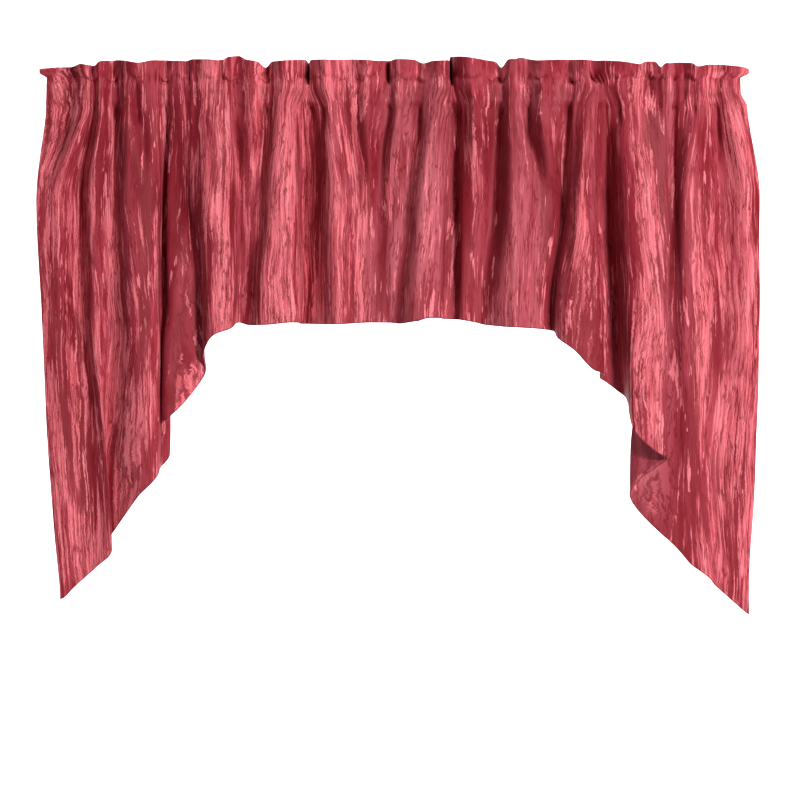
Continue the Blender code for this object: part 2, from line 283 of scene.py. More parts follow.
# %% Single soft creases
SOFT_CREASES = (
    # x at its top, drop at its top, x at its foot, drop at its foot, half width, forward
    (-466, -60, -456, 60, 6, -10), (-441, -22, -434, 110, 7, 4), (-426, -22, -419, 60, 5, -10),
    (-412, 20, -408, 140, 7, -5), (-377, -26, -377, 60, 6, -10), (-342, -60, -342, -24, 6, -7),
    (-291, -60, -288, -24, 6, -7), (-262, -30, -256, 40, 8, -7), (-210, -50, -210, 36, 5, -10),
    (-184, -26, -182, 70, 8, 3), (-141, -60, -139, 50, 6, -14), (-120, -18, -119, 70, 5, -7),
    (-105, -50, -103, 60, 7, 4), (-62, -30, -62, 36, 5, -7), (-45, -50, -45, 110, 8, 4),
    (-8, -60, -12, 60, 6, -10), (17, -16, 17, 90, 5, -7), (39, -60, 38, 90, 5, -8),
    (93, -60, 103, 60, 7, -15), (130, -20, 134, 120, 5, 8), (149, -16, 149, 50, 5, -8),
    (178, -34, 172, 46, 5, -8), (200, -60, 198, -24, 5, -8), (219, -4, 224, 60, 5, -7),
    (238, -32, 246, 80, 5, 9), (261, -60, 262, 46, 5, -7), (290, -26, 286, 40, 5, -7),
    (322, -60, 326, 0, 7, -14), (367, -20, 366, 60, 6, -8), (398, -16, 400, 70, 7, 4),
    (418, -26, 418, 10, 4, -7), (432, -26, 434, 30, 4, -10), (458, -26, 460, 220, 5, -8),
    (478, -50, 476, 20, 4, -7), (491, -26, 491, 40, 5, -8), (512, -30, 514, 60, 8, 3),
    (529, -14, 534, 130, 5, -7), (-8, -60, -8, -8, 5, -8), (-143, -70, -143, -14, 9, -14),
    (91, -70, 93, -14, 9, -14), (322, -70, 323, -14, 9, -12), (-143, -60, -141, 20, 10, -8),
    (92, -60, 96, 10, 11, -8), (321, -60, 322, -6, 10, -8), (200, -60, 199, -10, 6, -6),
    (-428, 10, -403, 125, 9, -3.5), (-452, 30, -462, 150, 10, 3), (-532, 5, -566, 110, 13, -4),
    (-345, 40, -322, 330, 12, 3), (-250, 60, -243, 260, 8, 2.5), (-112, 10, -74, 190, 9, -3),
    (-30, 20, -60, 170, 8, -3), (12, 40, -4, 360, 7, 2.5), (106, 5, 83, 40, 9, 6),
    (148, 15, 160, 150, 8, -3), (230, 5, 262, 160, 10, 4), (211, 80, 214, 370, 9, -2.5),
    (-554, -60, -562, 70, 9, 5), (-532, -60, -536, 30, 7, -4), (-379, 370, -379, 620, 8, 11),
    (320, 20, 340, 420, 9, 3), (424, 10, 436, 300, 8, -3), (484, 5, 492, 400, 9, -3),
    (520, 60, 528, 560, 12, 3), (556, 10, 590, 220, 12, 3), (480, 330, 520, 700, 16, -3),
    (-520, 250, -505, 640, 14, -3), (-430, 260, -440, 640, 12, 3),
)


# Shares of a band's length over which it fades in and out.
FADES_IN = (-0.1, 0.2)
FADES_OUT = (0.7, 1.1)


def spread(points, table):
    """Add up the rows of a table, each a soft band down the cloth, at each point."""
    total = np.zeros(points.shape[:2])
    for x_top, top, x_foot, foot, half_width, amount in table:
        share = (-points[..., 2] / MM - top) / (foot - top)
        centre = x_top + (x_foot - x_top) * share
        fade = ease(share, *FADES_IN) * (1 - ease(share, *FADES_OUT))
        total += amount * fade * bell(points[..., 0] / MM - centre, half_width)
    return total


def forward_normals(points):
    """Give the unit normals of a grid whose rows run down, towards the room."""
    down = np.gradient(points, axis=1)
    right = np.gradient(points, axis=0)
    normals = np.cross(down, right)
    return normals / np.maximum(np.linalg.norm(normals, axis=2, keepdims=True), 1e-9)


print(len(SOFT_CREASES), "soft creases")

# %% [markdown]
# ## The hanging cloth
# Below the pocket the panel hangs free. Its mesh is a grid with a column for every 3.2 mm of cloth
# and rows that lie closer where the gathers and the hem are. The hem is narrow, so the last rows
# turn up behind the edge. Each side edge is turned back in the same way, and both taper away
# towards the points, where a maker trims the corner.

# %% Rows of the hanging cloth
GATHERED_ROWS = 14
GATHERED_LENGTH = 56 * MM
OPEN_ROWS = 58
CROWDED_UPWARD = 1.2
HEM_WIDTH = 7 * MM
HEM_ROWS = (0.66, 0.33, 0.12, 0.0)

first = -POCKET_ROW
near_top = first + GATHERED_LENGTH * np.linspace(0, 1, GATHERED_ROWS) ** CROWDED_UPWARD
above_hem = hem - HEM_WIDTH
shares = np.linspace(0, 1, OPEN_ROWS + 1)[1:]
open_rows = near_top[-1] + (above_hem - near_top[-1])[:, None] * shares
hem_rows = hem[:, None] - HEM_WIDTH * np.array(HEM_ROWS)
drops = np.hstack([np.tile(near_top, (COLUMNS + 1, 1)), open_rows, hem_rows])
drop_grid = cloth_points(drops)
print("hanging cloth", drop_grid.shape[0], "columns", drop_grid.shape[1], "rows")

# %% Gather, dent and flutter it
LOWER_GATHER_DEPTH = 1.7 * MM
LOWER_GATHER_REACH = 22 * MM
UPPER_GATHER_DEPTH = 0.8 * MM
UPPER_GATHER_REACH = 40 * MM
DENT_DEPTH = 0.9 * MM
DENT_WIDTH = 75 * MM
DENT_HEIGHT = 210 * MM
DENTS_BELOW = 80 * MM
FLUTTER_DEPTH = 1.3 * MM
FLUTTER_PITCH = 60 * MM
FLUTTER_REACH = 45 * MM

below = drops - first
to_hem = hem[:, None] - drops
gathers = LOWER_GATHER_DEPTH * lower_gathers[:, None] * np.exp(-below / LOWER_GATHER_REACH)
gathers += UPPER_GATHER_DEPTH * upper_gathers[:, None] * np.exp(-below / UPPER_GATHER_REACH)
loose = DENT_DEPTH * dents(along[:, None], drops, DENT_WIDTH, DENT_HEIGHT) * ease(below, 0, DENTS_BELOW)
flutter = FLUTTER_DEPTH * uneven_wave(along, FLUTTER_PITCH)[:, None] * np.exp(-to_hem / FLUTTER_REACH)
push = gathers + loose + flutter + spread(drop_grid, SOFT_CREASES) * MM
drop_grid += forward_normals(drop_grid) * push[..., None]
print("largest small move", round(float(np.abs(push).max()) / MM, 1), "mm")

# %% Turn up the hem
HEM_LAYER = 1.1 * MM
HEM_ROUND = 0.2 * MM
HEM_TURN = (
    # share of the hem's width back up, layers behind the face
    (0.0, 0.5), (0.12, 1.0), (0.55, 1.0), (1.0, 1.0),
)
LEAST_TURN = 0.05

inward = -forward_normals(drop_grid)
edge = drop_grid[:, -1]
behind = inward[:, -1]
heights = -drop_grid[:, :, 2]
turned = []
for rise, layer in HEM_TURN:
    target = -edge[:, 2] - HEM_WIDTH * rise
    lifted = [
        [np.interp(target[c], heights[c], drop_grid[c, :, axis]) for axis in range(3)]
        for c in range(COLUMNS + 1)
    ]
    turned.append(np.array(lifted) + behind * HEM_LAYER * layer)
turned[0][:, 2] -= HEM_ROUND
drop_grid = np.concatenate([drop_grid, np.stack(turned, axis=1)], axis=1)
rises = np.array(HEM_TURN)[:, 0]
hem_distance = np.hstack([to_hem, np.tile(HEM_WIDTH * rises, (COLUMNS + 1, 1))])
down_cloth = np.hstack([-drops, -hem[:, None] - HEM_WIDTH * np.maximum(rises, LEAST_TURN)])
print("hem", round(HEM_WIDTH / MM, 1), "mm")

# %% Turn back the side edges
SIDE_TURN = 7 * MM
SIDE_FOLD = (
    # share of the turn's width inwards, layers behind the face
    (0.0, 0.55), (0.5, 1.0), (1.0, 1.0),
)
TAPER_BETWEEN = (12 * MM, 60 * MM)
LEAST_LAYER = 0.3
taper = ease(hem_distance, *TAPER_BETWEEN)


def turn_side(grid, end, step):
    """Give three more columns that fold the side edge back behind the cloth."""
    column = grid[end]
    inside = grid[end + step * 2] - grid[end]
    inside /= np.linalg.norm(inside, axis=1, keepdims=True)
    back = -forward_normals(grid)[end + step]
    fade = taper[end][:, None]
    return [
        column + back * HEM_LAYER * deep * np.maximum(fade, LEAST_LAYER) + inside * SIDE_TURN * wide * fade
        for wide, deep in SIDE_FOLD
    ]


left = turn_side(drop_grid, 0, 1)
right = turn_side(drop_grid, COLUMNS, -1)
print("side turn", round(SIDE_TURN / MM, 1), "mm")

# %% [markdown]
# ## From grid to mesh
# Each sheet is made as a grid of points and given its thickness by a Solidify modifier, so that it
# has a right side and a wrong side. The flat cut is kept as a UV map in metres, which lets the
# woven figure follow the cloth round every fold. Edges sharper than 60 degrees stay crisp.


# %% Make a mesh from a grid of points
SHARP_ANGLE = math.radians(60)


def add_object(name, data):
    """Put an object with this mesh, light or lens into the scene."""
    made = bpy.data.objects.new(name, data)
    bpy.context.scene.collection.objects.link(made)
    return made


def add_mesh(name, points, faces):
    """Put a smoothly shaded mesh into the scene."""
    mesh = bpy.data.meshes.new(name)
    mesh.from_pydata(points, [], faces)
    mesh.shade_smooth()
    return add_object(name, mesh)


def grid_piece(name, grid, across, up, attributes, upward=False):
    """Make a sheet from a grid of points, with its flat cut as a UV map in metres."""
    columns, rows = grid.shape[:2]
    number = np.arange(columns * rows).reshape(columns, rows)
    a, b = number[:-1, :-1], number[:-1, 1:]
    c, d = number[1:, 1:], number[1:, :-1]
    corners = (a, d, c, b) if upward else (a, b, c, d)
    faces = np.stack(corners, axis=-1).reshape(-1, 4)
    piece = add_mesh(name, grid.reshape(-1, 3).tolist(), faces.tolist())
    layer = piece.data.uv_layers.new(name="cut")
    flat = np.stack([across.reshape(-1), up.reshape(-1)], axis=-1)
    layer.data.foreach_set("uv", flat[faces.reshape(-1)].astype(np.float32).ravel())
    for title, values in attributes.items():
        held = piece.data.attributes.new(title, "FLOAT", "POINT")
        held.data.foreach_set("value", values.astype(np.float32).ravel())
    return piece


def thicken(piece, thickness):
    """Give the sheet its thickness and its own finish on the wrong side."""
    bpy.ops.object.select_all(action="DESELECT")
    piece.select_set(True)
    bpy.context.view_layer.objects.active = piece
    solid = piece.modifiers.new("thickness", "SOLIDIFY")
    solid.thickness = thickness
    solid.offset = 0.0
    solid.material_offset = 1
    solid.material_offset_rim = 0
    bpy.ops.object.modifier_apply(modifier=solid.name)
    piece.data.shade_smooth()
    piece.data.set_sharp_from_angle(angle=SHARP_ANGLE)
    count = sum(len(face.vertices) - 2 for face in piece.data.polygons)
    print(piece.name, "triangles", count)


# %% [markdown]
# ## The heading
# The same cloth runs up the front of the pocket, makes the frill, folds over at the top and comes
# down the back, where its turned-in edge is caught by the lower stitches. So the heading is one
# strip whose section is a narrow loop. The large folds run on through it, because both rows hold
# the same gathers. Between the rows the two walls are held apart, so the pocket stands open just
# enough for a flat rod. The frill's top edge is a table of places and heights.

# %% Section of the heading
POCKET_STEPS = 20
FRILL_STEPS = 16
BACK_GAP = 1.9 * MM
FRILL_SPREADS_BY = 0.7
# Shares of the height by which the pocket and the frill have moved to their own places across,
# and between which the pocket stands fully open.
POCKET_MOVED_BY = 0.55
FRILL_MOVED_BY = 0.6
OPENS_BY = 0.3
CLOSES_FROM = 0.7

frill_x, frill_z = np.array(FRILL_EDGE, float).T * MM
seam = cloth_points(np.full((COLUMNS + 1, 1), -POCKET_ROW))[:, 0]


def between_ends(x, ends):
    """Move a place across so that the cloth's top corners come to the given ends."""
    left_share = np.exp((seam[0, 0] - x) / END_REACH)
    right_share = np.exp((x - seam[-1, 0]) / END_REACH)
    return x + (ends[0] - seam[0, 0]) * left_share + (ends[1] - seam[-1, 0]) * right_share


pocket_x = between_ends(seam[:, 0], POCKET_ENDS)
frill_edge_x = between_ends(seam[:, 0], FRILL_ENDS)
edge_seen = read_curve(frill_x, frill_z, frill_edge_x, level=True)
# A crest is nearer to the eye than a groove, so at the same height it looks higher.
edge_depth = wave * FRILL_SHARE - HEADING_FORWARD
frill_top = edge_seen + (edge_seen - EYE_HEIGHT) * edge_depth / VIEW_DISTANCE


def soft_max(first_value, second_value, softness):
    """Take the larger of two values with a rounded change between them."""
    middle_value = (first_value + second_value) / 2
    half = (first_value - second_value) / 2
    return middle_value + np.sqrt(half * half + softness * softness)


def pocket_row(share):
    """Give one row of the pocket: share 0 is the lower row of stitches and 1 the upper one."""
    z = POCKET_ROW + (FRILL_ROW - POCKET_ROW) * share
    row_share = LOWER_ROW_SHARE + (UPPER_ROW_SHARE - LOWER_ROW_SHARE) * share
    depth = wave * (row_share + (POCKET_SHARE - row_share) * opened_at(share)) - HEADING_FORWARD
    x = seam[:, 0] + (pocket_x - seam[:, 0]) * ease(share, 0.0, POCKET_MOVED_BY)
    return np.stack([x, depth, np.full_like(x, z)], axis=-1)


def opened_at(share):
    """Give how far the pocket stands open at a share of its height."""
    return float(ease(share, 0.0, OPENS_BY) * (1 - ease(share, CLOSES_FROM, 1.0)))


def clear_rod(depth, side, opened):
    """Hold the pocket's wall off the rod: side is -1 in front and 1 behind."""
    out = soft_max(side * depth + POCKET_BULGE, ROD_ROOM, ROD_SOFTNESS)
    return depth + (side * out - depth) * opened


def frill_row(share, behind_front):
    """Give one row of the frill: share 0 is the upper row of stitches and 1 the top edge."""
    z = FRILL_ROW + (frill_top - FRILL_ROW) * share
    depth = wave * (UPPER_ROW_SHARE + (FRILL_SHARE - UPPER_ROW_SHARE) * share ** FRILL_SPREADS_BY)
    x = pocket_x + (frill_edge_x - pocket_x) * ease(share, 0.0, FRILL_MOVED_BY)
    return np.stack([x, depth - HEADING_FORWARD + behind_front, z], axis=-1)


pocket_shares = np.linspace(0, 1, POCKET_STEPS)
front_wall = [pocket_row(share) for share in pocket_shares]
back_wall = [pocket_row(share) for share in pocket_shares[::-1]]
front_frill = [frill_row(share, 0.0) for share in np.linspace(0, 1, FRILL_STEPS)[1:-1]]
back_frill = [frill_row(share, BACK_GAP) for share in np.linspace(1, 0, FRILL_STEPS)[1:-1]]
print("pocket rows", len(front_wall), "frill rows", len(front_frill))

# %% Join the rows into one strip
TOP_TURN = (0.0, 0.25, 0.5, 0.75, 1.0)
TOP_ROWS_IN_FRONT = 3

top_rows = []
for turn in TOP_TURN:
    over = frill_row(1.0, BACK_GAP * (1 - math.cos(math.pi * turn)) / 2)
    over[:, 2] += BACK_GAP * 0.5 * math.sin(math.pi * turn)
    top_rows.append(over)
strip = front_wall + front_frill + top_rows + back_frill + back_wall
heading_grid = np.stack(strip, axis=1)
depth = heading_grid[..., 1]
z = heading_grid[..., 2]
above_row = z - FRILL_ROW
front_count = len(front_wall) + len(front_frill) + TOP_ROWS_IN_FRONT
is_back = (np.arange(len(strip)) >= front_count).astype(float)
on_front = 1 - is_back
print("strip of", len(strip), "rows,", front_count, "of them in front")

# %% Gathers and creases of the heading
ROW_GATHER_DEPTH = 2.3 * MM
GATHER_ABOVE = 13 * MM
GATHER_BELOW = 15 * MM
LOW_GATHER_REACH = 14 * MM
FRILL_WAVE_DEPTH = 1.8 * MM
FRILL_WAVE_RISE = 30 * MM
RISING_FADE = 0.3
SHARED_BETWEEN = (-14 * MM, -2 * MM)

row_pull = np.where(above_row > 0, np.exp(-above_row / GATHER_ABOVE), np.exp(above_row / GATHER_BELOW))
low_pull = np.exp(-(z - POCKET_ROW) / LOW_GATHER_REACH)
push = ROW_GATHER_DEPTH * upper_gathers[:, None] * row_pull
push += LOWER_GATHER_DEPTH * lower_gathers[:, None] * low_pull
# The hanging cloth's share of the upper gathers fades out upwards from the lower row.
rising = np.exp((POCKET_ROW - z) / UPPER_GATHER_REACH) * low_pull ** RISING_FADE
push += UPPER_GATHER_DEPTH * upper_gathers[:, None] * rising
push += FRILL_WAVE_DEPTH * frill_waves[:, None] * ease(above_row, 0, FRILL_WAVE_RISE)
depth -= push
# Above the pocket both layers lie together, so they share their creases.
together = np.maximum(on_front, ease(above_row, *SHARED_BETWEEN))
depth -= spread(heading_grid, SOFT_CREASES) * MM * together
for row, share in enumerate(pocket_shares):
    for column, side in ((row, -1), (len(strip) - 1 - row, 1)):
        depth[:, column] = clear_rod(depth[:, column], side, opened_at(share))
print("deepest groove of the heading", round(float(depth.max()) / MM), "mm back")

# %% [markdown]
# ## Slots and knuckles
# At three places a deep fold pinches the frill into a narrow dark slot. The first table says where,
# and how much the cloth on both sides closes in. Elsewhere the gathers bunch, and the frill rolls
# over its stitches in small knuckles shaped like a U. Each row of the second table is one
# knuckle: its place, its half width, how far it swells forward and how far it sags over the
# stitches. A negative swell is a dimple.

# %% Slots in the frill
FRILL_SLOTS = (
    # right of the middle, half width, how much narrower, lean of the top edge to the right
    (-143, 22, 10, 0), (94, 20, 10, -2), (338, 22, 10, -16),
)
NARROWED_UP_TO = 10 * MM
LEANS_BETWEEN = (-14 * MM, 22 * MM)
JOINED_WITHIN = 7 * MM

for x, half_width, squeeze, lean in FRILL_SLOTS:
    away = (heading_grid[..., 0] / MM - x) / half_width
    narrowed = squeeze * away * np.exp((1 - away * away) / 2) * ease(z, POCKET_ROW, NARROWED_UP_TO)
    leaning = lean * np.exp(-away * away) * ease(above_row, *LEANS_BETWEEN)
    heading_grid[..., 0] += (leaning - narrowed) * MM
# The foot of both walls meets the top of the hanging cloth.
low_pull = np.exp(-(z - POCKET_ROW) / JOINED_WITHIN)
heading_grid += (drop_grid[:, 0] - heading_grid[:, 0])[:, None] * (low_pull * on_front)[..., None]
heading_grid += (drop_grid[:, 0] - heading_grid[:, -1])[:, None] * (low_pull * is_back)[..., None]
print(len(FRILL_SLOTS), "slots")

# %% Knuckles over the upper stitches
KNUCKLES = (
    # right of the middle, half width, swell, sag
    (-499, 9, 8, 4), (-480, 6, -4, 2), (-466, 8, 8, 6), (-421, 8, 4, 3), (-379, 7, 7, 5),
    (-345, 8, 4, 3), (-300, 8, 5, 3), (-271, 9, 8, 6), (-240, 7, -4, 2), (-212, 8, 7, 7),
    (-155, 9, -9, 2), (-120, 8, 5, 3), (-86, 8, 6, 4), (-50, 8, 4, 3), (19, 9, 8, 4),
    (34, 5, -4, 2), (46, 7, 7, 5), (92, 9, -9, 2), (128, 8, 5, 4), (160, 8, 8, 6),
    (178, 6, 5, 4), (208, 7, 4, 3), (238, 7, 6, 6), (266, 7, 4, 3), (298, 8, 8, 7),
    (326, 8, -9, 2), (368, 8, 5, 3), (398, 7, 4, 3), (428, 8, 8, 6), (444, 6, 5, 5),
    (462, 6, -4, 2), (494, 9, 8, 7), (530, 10, 5, 4), (560, 8, 4, 3),
)
KNUCKLE_SPREAD = 1.25
# How far above the stitches a roll lies at its two sides, how far it dips between them, and
# half its height, in millimetres.
ROLL_SIDES = 13
ROLL_DIP = 10
ROLL_HEIGHT = 4.8
# How much less the back layer swells and sags.
BACK_SWELLS_LESS = 0.55
BACK_SAGS_LESS = 0.8
ROW_DRAWN_IN = 1.2 * MM
DRAWN_IN_WAVES = (-0.2, 1.0)
ROW_GROOVE = 2.6 * MM

swell = np.zeros_like(z)
sag = np.zeros_like(z)
for x, half_width, out, down in KNUCKLES:
    here = bell(heading_grid[..., 0] / MM - x, half_width * KNUCKLE_SPREAD)
    over_roll = above_row / MM - (ROLL_SIDES - ROLL_DIP * here)
    swell += out * MM * here * bell(over_roll, ROLL_HEIGHT)
    sag += down * MM * here * bell(over_roll, ROLL_HEIGHT)
depth -= np.where(swell > 0, swell * (1 - BACK_SWELLS_LESS * is_back), swell)
z -= sag * (1 - BACK_SAGS_LESS * is_back)
drawn_in = ROW_DRAWN_IN * ease(frill_waves, *DRAWN_IN_WAVES)[:, None] * bell(above_row, ROW_GROOVE)
depth += drawn_in * on_front
print(len(KNUCKLES), "knuckles, the largest", round(float(swell.max()) / MM, 1), "mm")

# %% [markdown]
# ## Two layers that never cross
# Where cloth lies on cloth, the back layer is set a little behind the front one. The last step
# compares the two layers column by column and moves the back one wherever it came too near.

# %% Keep the back layer behind the front
LEAST_GAP = 1.1 * MM
DEEPEST = 48.6 * MM
# Below the upper row and at the foot the back layer is eased back, at the foot by more gaps.
BACK_EASE = 4 * MM
JUST_ABOVE = 1 * MM
FOOT_GAPS = 1.6

near_row = is_back * np.exp(-(np.abs(z - FRILL_ROW)) / BACK_EASE) * (z < FRILL_ROW + JUST_ABOVE)
depth += BACK_GAP * near_row
near_foot = is_back * np.exp(-(z - POCKET_ROW) / BACK_EASE)
depth += FOOT_GAPS * BACK_GAP * near_foot
depth[...] = np.minimum(depth, DEEPEST)
half = len(strip) // 2
front_depth = depth[:, :half]
back_depth = depth[:, :-half - 1:-1]
print("columns where the layers crossed", int((back_depth < front_depth).any(axis=1).sum()))
back_depth[...] = np.maximum(back_depth, front_depth + LEAST_GAP)

# %% Turn in the back wall's lower edge
EDGE_TURN = (
    # back, up, in millimetres
    (0.6, -1.2), (0.8, -2.0), (-0.57, -2.0), (-0.95, -1.0), (-0.95, 0.5), (-0.45, 7.0),
)

last = heading_grid[:, -1]
tail = [last + (0, back * MM, up * MM) for back, up in EDGE_TURN]
heading_grid = np.concatenate([heading_grid, np.stack(tail, axis=1)], axis=1)
steps = np.linalg.norm(np.diff(heading_grid, axis=1), axis=2).mean(axis=0)

# %% [markdown]
# ## How dense the figure is, with painted light and shade
# The woven figure is crowded at the sides of the panel and thin towards the middle. The first
# table gives its share of the surface across the valance, raised on some lit folds and lowered
# in some grooves as painted light and shade, and how much painted highlight, a greyish rose, the
# bare ground gets there. The second one adds figure on lit ridges as painted light and takes it
# away in grooves as painted shade. Point attributes carry both to the material.

# %% Density of the woven figure, with painted light and shade
# Painted light and shade: the share is raised on some lit folds and lowered in some grooves, and the last
# column paints a highlight on the bare ground.
FIGURE_SHARE_AND_PAINTED_LIGHT = (
    # right of the middle at mid height, share of the light figure, painted highlight on the ground
    (-590, 0.66, 0.1), (-530, 0.60, 0.1), (-480, 0.55, 0.1), (-430, 0.44, 0.2), (-385, 0.40, 0.1),
    (-365, 0.18, 0.2), (-335, 0.42, 0.1), (-290, 0.62, 0.2), (-240, 0.58, 0.2), (-190, 0.70, 0.1),
    (-130, 0.60, 0.1), (-90, 0.62, 0.5), (-60, 0.48, 0.3), (-25, 0.34, 0.4), (0, 0.28, 0.9),
    (25, 0.22, 0.5), (48, 0.34, 0.9), (70, 0.28, 0.8), (100, 0.20, 0.1), (128, 0.34, 0.2),
    (160, 0.24, 0.3), (195, 0.14, 1.0), (225, 0.20, 0.5), (250, 0.14, 0.9), (285, 0.30, 0.3),
    (320, 0.46, 0.4), (360, 0.24, 0.1), (405, 0.66, 0.1), (430, 0.40, 0.6), (444, 0.10, 1.0),
    (462, 0.16, 0.2), (485, 0.52, 0.2), (530, 0.56, 0.2), (590, 0.68, 0.1),
)
# Painted light and shade: a row with a positive share lightens a lit ridge, one with a negative share darkens
# a groove.
PAINTED_LIGHT_PATCHES = (
    # x at its top, drop at its top, x at its foot, drop at its foot, half width, share added
    (130, -16, 134, 130, 6, 0.45), (240, -20, 244, 60, 6, 0.5), (-552, -50, -556, 60, 10, 0.3),
    (-184, -16, -190, 370, 14, 0.2), (-105, -50, -105, 20, 7, 0.3), (-87, 40, -85, 370, 10, 0.3),
    (-47, -50, -47, 20, 8, 0.3), (53, 170, 50, 370, 10, 0.35), (195, 40, 195, 280, 9, 0.3),
    (261, 40, 261, 130, 8, 0.3), (317, 40, 312, 370, 12, 0.35), (440, 170, 430, 560, 9, 0.3),
    (418, 400, 424, 570, 12, 0.3), (356, -50, 356, -10, 9, 0.4), (397, -30, 397, 30, 8, 0.3),
    (-407, 400, -407, 580, 9, 0.4), (-350, 400, -350, 560, 9, 0.35), (570, 40, 572, 560, 16, 0.25),
    (-455, 380, -452, 760, 16, 0.3), (-286, 170, -290, 380, 10, 0.2),
    (-330, 170, -330, 370, 11, -0.3), (-37, 170, -20, 300, 11, -0.3), (-10, 280, -8, 370, 12, -0.3),
    (124, 160, 140, 370, 12, -0.3), (-466, -50, -462, 30, 8, -0.4), (-255, 150, -252, 300, 10, -0.25),
    (228, 160, 240, 370, 10, -0.2), (-250, -50, -262, 20, 14, -0.2), (458, -40, 458, 260, 8, -0.3),
)
# This much of the share goes with the column of cloth, and the rest with the place across.
BY_COLUMN = 0.65
LEAST_SHARE = 0.02
LARGEST_SHARE = 0.95

share_x, figure_and_light_value, highlight_value = np.array(FIGURE_SHARE_AND_PAINTED_LIGHT, float).T
open_x = sections_x[:, open_level] / MM
column_figure_and_light = np.interp(open_x, share_x, figure_and_light_value)
column_highlight = np.interp(open_x, share_x, highlight_value)


def share_with_painted_light(points):
    """Give the figure's share at each point of a piece, with the painted light and shade of the patches
    worked in.
    """
    by_place = np.interp(points[..., 0] / MM, share_x, figure_and_light_value)
    base = by_place * (1 - BY_COLUMN) + column_figure_and_light[:, None] * BY_COLUMN
    return np.clip(base + spread(points, PAINTED_LIGHT_PATCHES), LEAST_SHARE, LARGEST_SHARE)


print("mean share of the figure", round(float(column_figure_and_light.mean()), 2))

# %% Make the hanging sheet
across = np.broadcast_to(along[:, None], drop_grid.shape[:2])
full_grid = np.concatenate([np.stack(left)[::-1], drop_grid, np.stack(right)], axis=0)
side_steps = SIDE_TURN * np.maximum(np.array(SIDE_FOLD)[:, :1], LEAST_TURN)
side_across = np.broadcast_to(side_steps, (len(SIDE_FOLD), across.shape[1]))
full_across = np.concatenate([-side_across[::-1], across, FLAT_WIDTH + side_across])


def repeat_ends(values):
    """Carry the first and last column on into the turned side edges."""
    more = len(SIDE_FOLD)
    first_columns = np.repeat(values[:1], more, axis=0)
    return np.concatenate([first_columns, values, np.repeat(values[-1:], more, axis=0)])


drop_cloth = grid_piece(
    "drop_cloth",
    full_grid,
    full_across,
    repeat_ends(down_cloth),
    {
        "figure_and_painted_light": repeat_ends(share_with_painted_light(drop_grid)),
        "hem_distance": repeat_ends(hem_distance),
        "painted_highlight": repeat_ends(np.broadcast_to(column_highlight[:, None], across.shape)),
    },
)

# %% Make the heading's sheet
# Painted shade on the frill: higher up the heading the cloth gets less of the light figure and less painted
# highlight, so the frill looks darker.
FRILL_PAINTED_SHADE = 0.15
FRILL_SHADE_BETWEEN = (12 * MM, 30 * MM)
LESS_HIGHLIGHT_IN_FRILL = 0.40
LESS_HIGHLIGHT_BETWEEN = (16 * MM, 34 * MM)
# The heading has no hem of its own, so it counts as a metre away from one.
NO_HEM = 1.0

up_cloth = POCKET_ROW + np.concatenate([[0], np.cumsum(steps)])
heading_shape = heading_grid.shape[:2]
# Painted shade: less figure and less highlight towards the frill.
frill_shade = 1 - FRILL_PAINTED_SHADE * ease(heading_grid[..., 2], *FRILL_SHADE_BETWEEN)
frill_highlight = 1 - LESS_HIGHLIGHT_IN_FRILL * ease(heading_grid[..., 2], *LESS_HIGHLIGHT_BETWEEN)
heading_cloth = grid_piece(
    "heading_cloth",
    heading_grid,
    np.broadcast_to(along[:, None], heading_shape),
    np.broadcast_to(up_cloth[None], heading_shape),
    {
        "figure_and_painted_light": share_with_painted_light(heading_grid) * frill_shade,
        "hem_distance": np.full(heading_shape, NO_HEM),
        "painted_highlight": column_highlight[:, None] * frill_highlight,
    },
    upward=True,
)
print("sheets of", full_grid.shape[:2], "and", heading_shape, "points")

# %% [markdown]
# ## Stitches
# Two rows of matching thread close the pocket, and one row holds the hem at its back. In front,
# only the upper row's thread lies on the cloth. The lower row's has sunk between the gathers, so
# it is made on the back wall alone. One stitch is a short thread that dips into the cloth at both
# ends. Its few faces are set along each row, and all rows of one seam become one mesh.

# %% Lay stitches along a row
THREAD_RADIUS = 0.16 * MM
STITCH_LENGTH = 2.5 * MM
STITCH_PITCH = 3.3 * MM
THREAD_SIDES = 5
ROW_MARGIN = 2 * MM
LOOK_AHEAD = 0.3 * MM
THREAD_RINGS = (
    # share along the stitch, share of the radius, rise above the cloth in millimetres
    (0.0, 0.35, -0.32), (0.2, 0.85, -0.10), (0.5, 1.0, -0.02), (0.8, 0.85, -0.10), (1.0, 0.35, -0.32),
)


def read_along(run, values, at):
    """Read a row of points or normals at a distance along the row."""
    return Vector([np.interp(at, run, values[:, axis]) for axis in range(3)])


